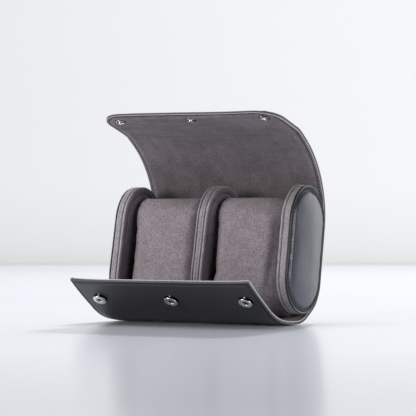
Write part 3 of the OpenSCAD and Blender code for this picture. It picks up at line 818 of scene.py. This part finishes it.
def end_panel(s):
    side = "left" if s < 0 else "right"
    X = lambda v: s * v
    Q = R if s > 0 else R - CUT
    up = lambda amp, sc, seed, k=1.0: worn(amp, sc, seed, k, s > 0)
    out = []
    # suede rim: crowned band, seam beside the face, turned over at both edges
    g = [(75.3, .42, .6), (76.7, -.8, .42), (78.1, .25, .8), (80.0, .22, 1.5)]
    p = [(74.25, Q - 2.6), (74.02, Q - 1.2), (74.05, Q - .75), (74.25, Q - .45)] + rib(74.5, 81.7, Q - .28, g) + \
        [(82.05, Q - .5), (82.32, Q - .95), (82.36, Q - 2.4)]
    rim = loft("rim_" + side, [(X(a), b) for a, b in p], M_RIM, wobble=up(.14, .12, 1.0 * s), n=34, m=22)
    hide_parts("end_rim_" + side); out.append(rim)
    face = loft("face_" + side, [(X(a), b - (R - Q)) for a, b in face_profile(74.0, 1)], M_FACE_SEWN, cap=(False, True), wobble=up(.1, .06, 4 + s, .9))
    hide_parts("end_face_" + side); out.append(face)
    # black leather border outside: a glossy rolled edge, a shallow step, a flat band, the seam beside the pad
    p = [(82.1, Q - 1.5), (82.2, Q - .7)]
    for k in range(11):
        t = rad(-70 + 190 * k / 10)
        p.append((82.92 + .62 * math.sin(t), Q - .74 + .62 * math.cos(t)))
    p += [(83.3, Q - 1.5), (83.34, Q - 1.8), (83.0, Q - 1.95)]
    piping = loft("edge_" + side, [(X(a), b) for a, b in p], M_PIPING, wobble=up(.05, .1, 2 + s), n=44, m=30)
    out.append(piping)
    p = [(82.9, Q - 1.7), (83.2, Q - 1.8), (83.42, Q - 2.0), (83.5, Q - 2.3)] + \
        [(83.5 + .1 * math.sin(math.pi * t), Q - 2.3 - (Q - 2.3 - 25.7) * t) for t in np.linspace(.15, 1, 6)] + \
        [(83.3, 25.5), (82.9, 25.3), (82.3, 25.2)]
    ring = loft("border_" + side, [(X(a), b) for a, b in p], M_BORDER, wobble=up(.05, .1, 2 + s, .6), n=44, m=30)
    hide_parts("end_border_" + side); out.append(ring)
    for o in out:
        if s < 0: tilted(o, -78.75)
        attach(o, "case")


def pad_piece(s):
    """leather oval drawn over its foam, with a welt round it"""
    side = "left" if s < 0 else "right"
    prof = []
    r0, top = 25.15, 86.4
    for i in range(48):
        t = i / 47
        r = r0 * (1 - t) + .03 * t
        # steep shoulder at the seam, then a long round crown
        u = min(1.0, t / .14)
        x = 82.95 + 1.25 * (1 - (1 - u) ** 2.2) + (top - 84.2) * (1 - (1 - t) ** 2.3)
        prof.append((x, r))
    prof = [(82.2, r0 - .1), (82.5, r0)] + prof

    def wob(x, r, w, l):
        # soft puckers run in from the seam and die out
        l0 = max(-A, min(A, l))
        ang = math.atan2(l - l0, w) * 13 + l * .5
        edge = max(0.0, 1 - (r0 - r) / 5.5) * min(1.0, max(0, (r0 - r)) / .9 + .1)
        big = noise.noise(Vector((w * .05, l * .05, 3.0 * s)))
        return s * (.13 * math.sin(ang + 2.5 * big) * edge + .26 * big * (1 - edge)), 0.0
    o = loft("pad_leather_" + side, [(s * a, b) for a, b in prof], M_PAD, cap=(False, True), wobble=wob, n=44, m=30)
    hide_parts("end_pad_" + side, "end_foam_" + side)
    if s < 0: tilted(o, -78.75)
    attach(o, "case")
    # welt: a thin rolled cord of leather in the seam
    c = [(83.1 + .52 * math.cos(t), 25.45 + .38 * math.sin(t)) for t in np.linspace(0, 2 * math.pi, 12, endpoint=False)]
    wlt = loft("pad_welt_" + side, [(s * a, b) for a, b in c], M_PIPING, closed=True, wobble=fuzz(.06, .4, 9 + s), n=44, m=30)
    if s < 0: tilted(wlt, -78.75)
    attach(wlt, "case")
    # a row of stitches through the pad's edge, just inside the welt
    verts, faces = [], []
    rnd = random.Random(5)
    r = 24.1
    per = 2 * math.pi * r + 4 * A
    n = int(per / 2.9)
    for k in range(n):
        t = (k + .5) * per / n
        if t < math.pi * r: a_ = t / r; w, l, d = r * math.cos(a_), A + r * math.sin(a_), (-math.sin(a_), math.cos(a_))
        elif t < math.pi * r + 2 * A: w, l, d = -r, A - (t - math.pi * r), (0, -1)
        elif t < 2 * math.pi * r + 2 * A:
            a_ = math.pi + (t - math.pi * r - 2 * A) / r; w, l, d = r * math.cos(a_), -A + r * math.sin(a_), (-math.sin(a_), math.cos(a_))
        else: w, l, d = r, -A + (t - 2 * math.pi * r - 2 * A), (0, 1)
        T = (BK * d[0] + AX * d[1]).normalized(); Nn = Vector((s, 0, 0)); B = Nn.cross(T)
        T = (T + B * rnd.uniform(-.1, .1)).normalized(); B = Nn.cross(T)
        add_bead(verts, faces, CEN + Vector((s * 84.42, 0, 0)) + AX * l + BK * w, T, B, Nn, 1.5, .5, .22)
    me = bpy.data.meshes.new("border_stitches_" + side); me.from_pydata(verts, [], faces); me.materials.append(M_THREAD)
    me.polygons.foreach_set("use_smooth", [True] * len(faces))
    bm = bmesh.new(); bm.from_mesh(me); bmesh.ops.recalc_face_normals(bm, faces=bm.faces); bm.to_mesh(me); bm.free()
    st = put(bpy.data.objects.new("border_stitches_" + side, me))
    if s < 0: tilted(st, -78.75)
    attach(st, "case")


for s_ in (-1, 1):
    end_panel(s_)
    pad_piece(s_)

Q = R - CUT
g = [(-4.1, .45, .55), (-2.9, -.85, .42), (-1.4, .3, .9), (.3, -.35, .4), (1.2, .26, .6), (2.5, -.85, .42), (3.8, .42, .6)]
p = [(-4.75, Q - 2.6), (-4.98, Q - 1.3), (-4.93, Q - .8), (-4.7, Q - .5)] + rib(-4.45, 4.45, Q - .3, g, .2) + \
    [(4.7, Q - .5), (4.93, Q - .8), (4.98, Q - 1.3), (4.75, Q - 2.6)]
o = loft("divider_rim_band", p, M_RIM_MID, wobble=worn(.16, .12, 5.0), n=34, m=22)
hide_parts("divider_rim"); tilted(o, 0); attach(o, "case")
for s_ in (-1, 1):
    o = loft("divider_side_" + ("left" if s_ < 0 else "right"), [(s_ * a, b - CUT) for a, b in face_profile(5.0, -1)], M_FACE_SEWN,
             cap=(False, True), wobble=worn(.1, .06, 8 + s_, .9))
    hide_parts("divider_face_" + ("left" if s_ < 0 else "right")); tilted(o, 0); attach(o, "case")


# ------------------------------------------------------------ the pillows
PR, PUP, PDN = 18.0, 24.7, 36.2


def oval(r, up, dn, n=22, m=20):
    pts = []
    for i in range(n + 1):
        t = math.pi * i / n; pts.append((r * math.cos(t), up + r * math.sin(t)))
    for i in range(1, m): pts.append((-r, up - (up + dn) * i / m))
    for i in range(n + 1):
        t = math.pi + math.pi * i / n; pts.append((r * math.cos(t), -dn + r * math.sin(t)))
    for i in range(1, m): pts.append((r, -dn + (up + dn) * i / m))
    return pts


def pillow_blank(r, half, edge):
    """a plain stuffed-roll shape in pillow coordinates (x, across, along)"""
    prof = [(-half + .6, r * .25), (-half + .2, r * .55), (-half, r - edge)]
    for k in range(1, 7):
        a = rad(15 * k); prof.append((-half + edge * (1 - math.cos(a)), r - edge + edge * math.sin(a)))
    mid = [(x, r) for x in np.linspace(-half + edge, half - edge, 14)[1:-1]]
    prof = prof + mid + [(-x, q) for x, q in reversed(prof)]
    bm = bmesh.new(); rings = []
    for (x, q) in prof:
        d = r - q
        rings.append([bm.verts.new((x * MM, w * MM, l * MM)) for w, l in oval(max(q, .6), PUP, PDN)])
    for a, b in zip(rings, rings[1:]):
        for i in range(len(a)):
            j = (i + 1) % len(a); bm.faces.new((a[i], a[j], b[j], b[i]))
    bm.faces.new(rings[0][::-1]); bm.faces.new(rings[-1])
    bmesh.ops.triangulate(bm, faces=[f for f in bm.faces if len(f.verts) > 4])
    bmesh.ops.recalc_face_normals(bm, faces=bm.faces)
    return bm


def evaluated(o):
    dg = bpy.context.evaluated_depsgraph_get(); dg.update()
    return bpy.data.meshes.new_from_object(o.evaluated_get(dg))


def stuffed(name, seed, half=30.7, r=18.0, edge=2.7):
    bm = pillow_blank(r, half, edge)
    me = bpy.data.meshes.new(name + "_blank"); bm.to_mesh(me); bm.free()
    o = put(bpy.data.objects.new(name + "_work", me))
    md = o.modifiers.new("remesh", "REMESH"); md.mode = "VOXEL"; md.voxel_size = .0031
    me2 = evaluated(o); o.modifiers.clear()
    bm = bmesh.new(); bm.from_mesh(me2)
    for _ in range(3): bmesh.ops.smooth_vert(bm, verts=bm.verts, factor=.5, use_axis_x=True, use_axis_y=True, use_axis_z=True)
    bm.to_mesh(me2); bm.free()
    o.data = me2
    n = len(me2.vertices)
    p0 = np.empty(n * 3); me2.vertices.foreach_get("co", p0); p0 = p0.reshape(-1, 3)
    rnd = np.random.RandomState(seed)
    # small slack in the cover, so that it doesn't swell evenly
    me2.vertices.foreach_set("co", (p0 + rnd.normal(0, .00012, p0.shape)).ravel()); me2.update()
    c = o.modifiers.new("cloth", "CLOTH")
    c.settings.quality = 6; c.settings.mass = .12
    c.settings.tension_stiffness = 12; c.settings.compression_stiffness = 12; c.settings.bending_stiffness = .6
    c.settings.use_pressure = True; c.settings.uniform_pressure_force = 4
    c.settings.effector_weights.gravity = 0
    c.collision_settings.use_collision = False
    c.point_cache.frame_start = 1; c.point_cache.frame_end = 20
    for f in range(1, 21): bpy.context.scene.frame_set(f)
    me3 = evaluated(o); o.modifiers.clear()
    p1 = np.empty(n * 3); me3.vertices.foreach_get("co", p1); p1 = p1.reshape(-1, 3)
    bpy.context.scene.frame_set(1)
    d = p1 - p0
    ln = np.linalg.norm(d, axis=1, keepdims=True)
    cap = .0050
    d = d * np.minimum(1, cap / np.maximum(ln, 1e-9))
    p = p0 + d
    me2.vertices.foreach_set("co", p.ravel()); me2.update()
    sub = o.modifiers.new("sub", "SUBSURF"); sub.levels = 1; sub.render_levels = 1
    me4 = evaluated(o); o.modifiers.clear()
    bpy.data.objects.remove(o)
    return me4


def shape_pillow(me, x0, seed, kind):
    """keeps the stuffed shape inside its place, adds seams, gathers and soft folds, and puts it in the case"""
    n = len(me.vertices)
    co = np.empty(n * 3); me.vertices.foreach_get("co", co); co = co.reshape(-1, 3) / MM
    XM, RM = 31.2, 18.55

    def soft(v, lim, k=.7):
        """goes up to lim without a hard stop"""
        return v if v < lim - k else lim - k * math.exp(-(v - lim + k) / k)
    for i in range(n):
        x, w, l = co[i]
        lc = max(-PDN, min(PUP, l))
        q = Vector((w, l - lc)); r = q.length
        ang = math.atan2(q[1], q[0]) if r > .01 else 0
        t = ang * 9 + l * .3
        big = noise.noise(Vector((x * .035 + seed, w * .035, l * .035)))
        mid = noise.noise(Vector((x * .09 + seed * 2, w * .09, l * .09 + 4)))
        calm = 1 - .8 * smooth01((-x - 18) / 8)
        r2 = r + (.45 * big + .16 * mid) * calm
        # the band is sewn to the gussets 3 mm in from each end: a fine channel with gathers beside it
        ax = abs(x)
        r2 -= (.5 + .12 * math.sin(t * 2.1 + 3 * big)) * math.exp(-((ax - 26.3) / 1.0) ** 2)
        r2 += .12 * calm * math.sin(t * 1.7 + 3 * big) * math.exp(-((ax - 23.8) / 2.4) ** 2)
        dx = 0.0
        x1, drop = (11.5, 5.4) if kind == "right" else (18.0, 4.0)
        if x > x1:
            front = (1 - smooth01((w + 4) / 12)) * (1 - .75 * smooth01((l - 16) / 16))
            r2 -= drop * front * ((x - x1) / (30.5 - x1)) ** 1.4 * (1 + .18 * math.sin(l * .33 + 2 * big))
        if kind == "right" and x > 12:
            # the cover is slack beside the end panel: it folds in low down and puckers
            k = math.exp(-((l + 20) / 19.0) ** 2) * (1 if w < 6 else .3)
            f1 = math.exp(-((x - 20.5 - .10 * (l + 20)) / 2.6) ** 2)
            f2 = math.exp(-((x - 27.0 - .05 * (l + 20)) / 2.2) ** 2)
            r2 += k * (-1.5 * f1 + .55 * f2) + k * .3 * math.sin(l * .8 + x * .5) * smooth01((x - 18) / 8)
            r2 -= .3 * smooth01((x - 18) / 10) * smooth01((l + 60) / 50) * (.6 + .4 * big)
        if kind == "left":
            k = math.exp(-((l + 5) / 30.0) ** 2)
            r2 -= k * .5 * math.exp(-((x - 20.0) / 2.6) ** 2)
        # the gussets are boxed: the stuffed edge is drawn out to a tighter corner
        a2 = ax
        u, v = (ax - 22) / (XM - 22), (r - 9) / (RM - 9)
        if u > 0 and v > 0:
            g = math.hypot(u, v) / (u ** 5 + v ** 5) ** .2
            g = 1 + (g - 1) * smooth01(min(u, v) * 4)
            a2, r2 = 22 + (XM - 22) * u * g, r2 + (RM - 9) * v * (g - 1)
        r2 = soft(r2, RM)
        if r > 1e-6: q = q * (max(r2, 0) / r)
        x2 = math.copysign(soft(a2 + (.4 - .35 * smooth01((r - 8) / 6)) * mid, XM), x) + dx
        co[i] = (x2, q[0], lc + q[1])
    pts = [tuple((CEN + Vector((x0 + x, 0, 0)) + AX * l + BK * w) * MM) for x, w, l in co]
    me.vertices.foreach_set("co", np.array(pts).ravel()); me.update()
    me.polygons.foreach_set("use_smooth", [True] * len(me.polygons))
    me.materials.clear(); me.materials.append(M_PILLOW)
    return me


for nm, x0, seed in (("left", -38.0, 11), ("right", 40.5, 23)):
    me = shape_pillow(stuffed("pillow_" + nm, seed), x0, seed * .37, nm)
    o = put(bpy.data.objects.new("pillow_" + nm, me))
    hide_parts(*["pillow_%s_%s" % (nm, k) for k in ("cover", "gussets", "core")])
    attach(o, "pillow_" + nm)


# ------------------------------------------------------------ snaps
def lathe(name, prof, centre, axis, material, n=48):
    ax = Vector(axis).normalized()
    u = ax.orthogonal().normalized(); v = ax.cross(u)
    verts, faces = [], []
    c = Vector(centre)
    idx = []
    for (r, z) in prof:
        if r < 1e-4:
            idx.append([len(verts)] * n); verts.append(tuple((c + ax * z) * MM)); continue
        row = []
        for k in range(n):
            a = 2 * math.pi * k / n
            row.append(len(verts)); verts.append(tuple((c + ax * z + (u * math.cos(a) + v * math.sin(a)) * r) * MM))
        idx.append(row)
    for p, q in zip(idx, idx[1:]):
        for k in range(n):
            j = (k + 1) % n
            f_ = tuple(dict.fromkeys((p[k], p[j], q[j], q[k])))
            if len(f_) > 2: faces.append(f_)
    me = bpy.data.meshes.new(name); me.from_pydata(verts, [], faces); me.materials.append(material)
    me.polygons.foreach_set("use_smooth", [True] * len(faces))
    bm = bmesh.new(); bm.from_mesh(me); bmesh.ops.recalc_face_normals(bm, faces=bm.faces)
    for e in bm.edges:
        if len(e.link_faces) == 2 and e.calc_face_angle(0) > rad(38): e.smooth = False
    bm.to_mesh(me); bm.free()
    return put(bpy.data.objects.new(name, me))


def arcp(cr, cz, r, a0, a1, n=8):
    return [(cr + r * math.cos(rad(a)), cz + r * math.sin(rad(a))) for a in np.linspace(a0, a1, n)]


def flap_at(x, along_, depth):
    q = FH[3] + along_ * fdir + depth * np.array([-math.sin(rad(FHEAD)), -math.cos(rad(FHEAD))])
    return (x, q[0], q[1])


lipd = along(-LEAN + sum(OPEN) + CREASE); lipn = away(-LEAN + sum(OPEN) + CREASE)
h_ = [UP + WR * away(-LEAN) + LSEG / 2 * along(-LEAN)]; hd = -LEAN
for t in OPEN: hd += t; h_.append(h_[-1] + LSEG * along(hd))


def lip_at(x, along_, depth):
    q = h_[-1] + along_ * lipd + depth * lipn
    return (x, q[0], q[1])


fn = (0, -math.sin(rad(FHEAD)), -math.cos(rad(FHEAD)))
ln_ = (0, lipn[0], lipn[1])
RING = arcp(2.95, 1.75, .6, 180, 90, 5) + arcp(4.98, 1.7, .66, 90, -80, 10)
for k, x in (("left", SNAP_S - SNAP_X), ("middle", SNAP_S), ("right", SNAP_S + SNAP_X)):
    base = lay(x, FLAP - FLAP_SNAP, WT)
    c = flap_at(x, FLAP_SNAP, base)
    # the base flange in near-black metal: partly painted shade under the raised ring
    o = lathe("snap_base_" + k, [(0, .5), (4.6, .5)] + arcp(5.6, .22, .32, 90, -20, 6) + [(5.9, -.1), (0, -.1)], c, fn, M_DARK_AND_SHADE)
    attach(o, "front_flap")
    o2 = lathe("snap_ring_" + k, [(0, .7), (2.1, .7), (2.3, .85), (2.33, 1.75)] + RING[1:] + [(4.2, .95), (3.6, .8), (3.5, .35), (0, .35)], c, fn, M_METAL)
    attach(o2, "front_flap")
    # a near-black disc down in the ring's hole: painted shade in the hole
    o4 = lathe("snap_socket_" + k, [(0, .82), (1.2, .82), (1.6, .95), (2.28, 1.0), (2.28, .72), (0, .72)], c, fn, M_DARK_AND_SHADE)
    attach(o4, "front_flap")
    # a small bright nub above the ring: a painted highlight, standing where the base flange's rim catches the light
    cn = flap_at(x + 1.4, FLAP_SNAP + 5.5, base)
    o5 = lathe("snap_glint_nub_" + k, [(0, .78), (.35, .74), (.62, .58), (.75, .3), (.75, -.1), (0, -.1)], cn, fn, M_METAL, n=20)
    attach(o5, "front_flap")
    o3 = lathe("snap_rivet_" + k, [(0, -.42), (1.6, -.4), (3.2, -.2), (4.0, .12), (4.05, .3), (0, .3)], flap_at(x, FLAP_SNAP, lay(x, FLAP - FLAP_SNAP, 0)), fn, M_METAL)
    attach(o3, "front_flap")
    if k == "left":
        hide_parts("flap_snap_rings"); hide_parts("flap_snap_rivets")
    c = lip_at(x, LIP - LIP_SNAP, lay(x, S_END - LIP_SNAP, 0))
    nn = tuple(-v for v in ln_)
    o = lathe("stud_flange_" + k, [(0, -.1), (4.2, -.1)] + arcp(4.2, .24, .24, -60, 90, 7) + [(3.4, .5), (2.9, .34), (2.2, .34), (1.9, .5), (0, .5)], c, nn, M_DARK_AND_SHADE)
    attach(o, "lid_lip")
    o2 = lathe("stud_ball_" + k, [(0, .3), (1.5, .3), (1.3, .7), (1.2, 1.1)] + arcp(1.0, 1.6, .5, -60, 90, 8) + [(0, 2.14)], c, nn, M_METAL)
    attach(o2, "lid_lip")
    o6 = lathe("stud_collar_" + k, arcp(3.3, .42, .34, -70, 250, 14), c, nn, M_METAL)
    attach(o6, "lid_lip")
    o3 = lathe("snap_cap_" + k, [(0, .5), (1.5, .49), (3.2, .43), (4.5, .34)] + arcp(4.95, .12, .2, 60, -30, 5) + [(5.1, -.05), (0, -.05)],
               lip_at(x, LIP - LIP_SNAP, lay(x, S_END - LIP_SNAP, WT)), ln_, M_CAP)
    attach(o3, "lid_lip")
    if k == "left":
        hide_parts("lid_snap_studs"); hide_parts("lid_snap_caps")

# boards and fillings stay as they are inside; the CAD nodes that still show get a card finish
M_CARD = suede("pressed_board", lin(120, 100, 78), lin(150, 128, 102))
for nme in ("end_board_left", "end_board_right", "divider_board"):
    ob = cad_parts[nme]
    for sl in ob.material_slots: sl.material = M_CARD

# ------------------------------------------------------------ camera, floor and light
cam = bpy.data.cameras.new("camera")
co = put(bpy.data.objects.new("camera", cam))
cam.sensor_width = 36.0
cam.lens = 36 * 1859.276 / 416
cam.shift_y = (230.813 - 208) / 416
cam.clip_end = 100
co.location = (.774715, -(1252.434 + 21.9) * MM, .074026)
co.rotation_euler = (rad(90), 0, rad(31))
bpy.context.scene.camera = co


def plane(name, verts, material):
    me = bpy.data.meshes.new(name); me.from_pydata(verts, [], [(0, 1, 2, 3)]); me.materials.append(material)
    o = put(bpy.data.objects.new(name, me)); return o


vd = Vector((-math.sin(rad(31)), math.cos(rad(31)), 0)); rdv = Vector((math.cos(rad(31)), math.sin(rad(31)), 0))
c0 = Vector((.774715, -1.274334, 0))
m, nt, b = mat("floor_gloss"); n = N(nt); v = n.coord()
sep = n.node("ShaderNodeSeparateXYZ"); nt.links.new(v, sep.inputs[0])
# painted shade: the floor is painted darker towards the front edge and towards the back, where less light falls
near = n.math("SUBTRACT", n.math("MULTIPLY", sep.outputs[0], .515), n.math("MULTIPLY", sep.outputs[1], .857))
back = n.math("MULTIPLY", n.math("SUBTRACT", -.02, near), 2.2, clamp=True)
near = n.math("MULTIPLY", n.math("SUBTRACT", near, .34), 3.0, clamp=True)
floor_painted_shade = n.math("SUBTRACT", n.math("SUBTRACT", 1.0, n.math("MULTIPLY", near, .12)), n.math("MULTIPLY", back, .1))
nt.links.new(n.mix(1.0, n.mix(n.noise(v, 3, 2), lin(226, 230, 239), lin(229, 232, 241)), floor_painted_shade, "MULTIPLY"), b.inputs["Base Color"])
b.inputs["Roughness"].default_value = .2
b.inputs["Specular IOR Level"].default_value = .1
FAR = 4.02
fl = [c0 - vd * 1.2 - rdv * 4, c0 - vd * 1.2 + rdv * 4, c0 + vd * FAR + rdv * 4, c0 + vd * FAR - rdv * 4]
plane("floor", [(p.x, p.y, -.0002) for p in fl], m)
m, nt, b = mat("backdrop"); n = N(nt); v = n.coord()
b.inputs["Base Color"].default_value = (*lin(120, 121, 122), 1); b.inputs["Roughness"].default_value = .9
sep = n.node("ShaderNodeSeparateXYZ"); nt.links.new(v, sep.inputs[0])
# the backdrop's glow is painted darker low down, a painted shade at the bend, and painted lighter towards the right
up = n.math("DIVIDE", sep.outputs[2], .17, clamp=True)
shade_ = n.math("ADD", n.math("MULTIPLY", n.math("POWER", up, .6), .15), .85)
across_painted_light = n.math("ADD", n.math("MULTIPLY", sep.outputs[0], .86), n.math("MULTIPLY", sep.outputs[1], .515))
across_painted_light = n.math("ADD", n.math("MULTIPLY", across_painted_light, .12), 1.0)
nt.links.new(n.mix(1.0, lin(236, 236.2, 236.4), n.math("MULTIPLY", shade_, across_painted_light), "MULTIPLY"), b.inputs["Emission Color"])
b.inputs["Emission Strength"].default_value = .86
w0 = c0 + vd * (FAR + .02)
plane("backdrop", [tuple(w0 - rdv * 4 + Vector((0, 0, -.05))), tuple(w0 + rdv * 4 + Vector((0, 0, -.05))),
                   tuple(w0 + rdv * 4 + Vector((0, 0, 4))), tuple(w0 - rdv * 4 + Vector((0, 0, 4)))], m)


def area(name, at, up_, power, col=(1, 1, 1), size=.8, dist=2.2):
    """a soft box; at is its bearing in degrees from +X towards +Y, up_ its height above the table in degrees"""
    l = bpy.data.lights.new(name, "AREA"); l.shape = "RECTANGLE"; l.size = l.size_y = size; l.energy = power; l.color = col
    o = put(bpy.data.objects.new(name, l))
    a_, e_ = rad(at), rad(up_)
    o.location = (dist * math.cos(e_) * math.cos(a_), dist * math.cos(e_) * math.sin(a_), .06 + dist * math.sin(e_))
    o.rotation_euler = (Vector((0, 0, .06)) - o.location).to_track_quat("-Z", "Y").to_euler()
    return o


area("back_top", 128, 72, 13)
area("back_key", 105, 48, 55, (1, 1, 1), .2, 3.4)
area("front_left", -120, 12, 23, (1, .99, .985))
area("right", 0, 12, 20, (.98, .99, 1))
area("back", 90, 35, 3, (.97, .985, 1))
area("front_top", -150, 60, 9)


def card(name, at, dist, wide, high, power, col=(1, 1, 1)):
    """a bright card that stands on the table"""
    o = area(name, at, 0, power, col, wide, dist)
    o.data.size_y = high; o.location.z = high / 2 + .01
    o.rotation_euler = (Vector((0, 0, high / 2 + .01)) - o.location).to_track_quat("-Z", "Y").to_euler()


card("card", 62, 2.2, 1.2, .9, 5.0, (.96, .975, 1))
far = area("far_floor", 121, 25, .25, (1, 1, 1), 3.4, 2.6)
far.data.size_y = .5; far.rotation_euler = (0, 0, rad(31)); far.location.z = .8
w = bpy.data.worlds.new("studio"); bpy.context.scene.world = w; w.use_nodes = True
w.node_tree.nodes["Background"].inputs[0].default_value = (.80, .81, .83, 1)
w.node_tree.nodes["Background"].inputs[1].default_value = .03
bpy.context.scene.view_settings.view_transform = "Standard"
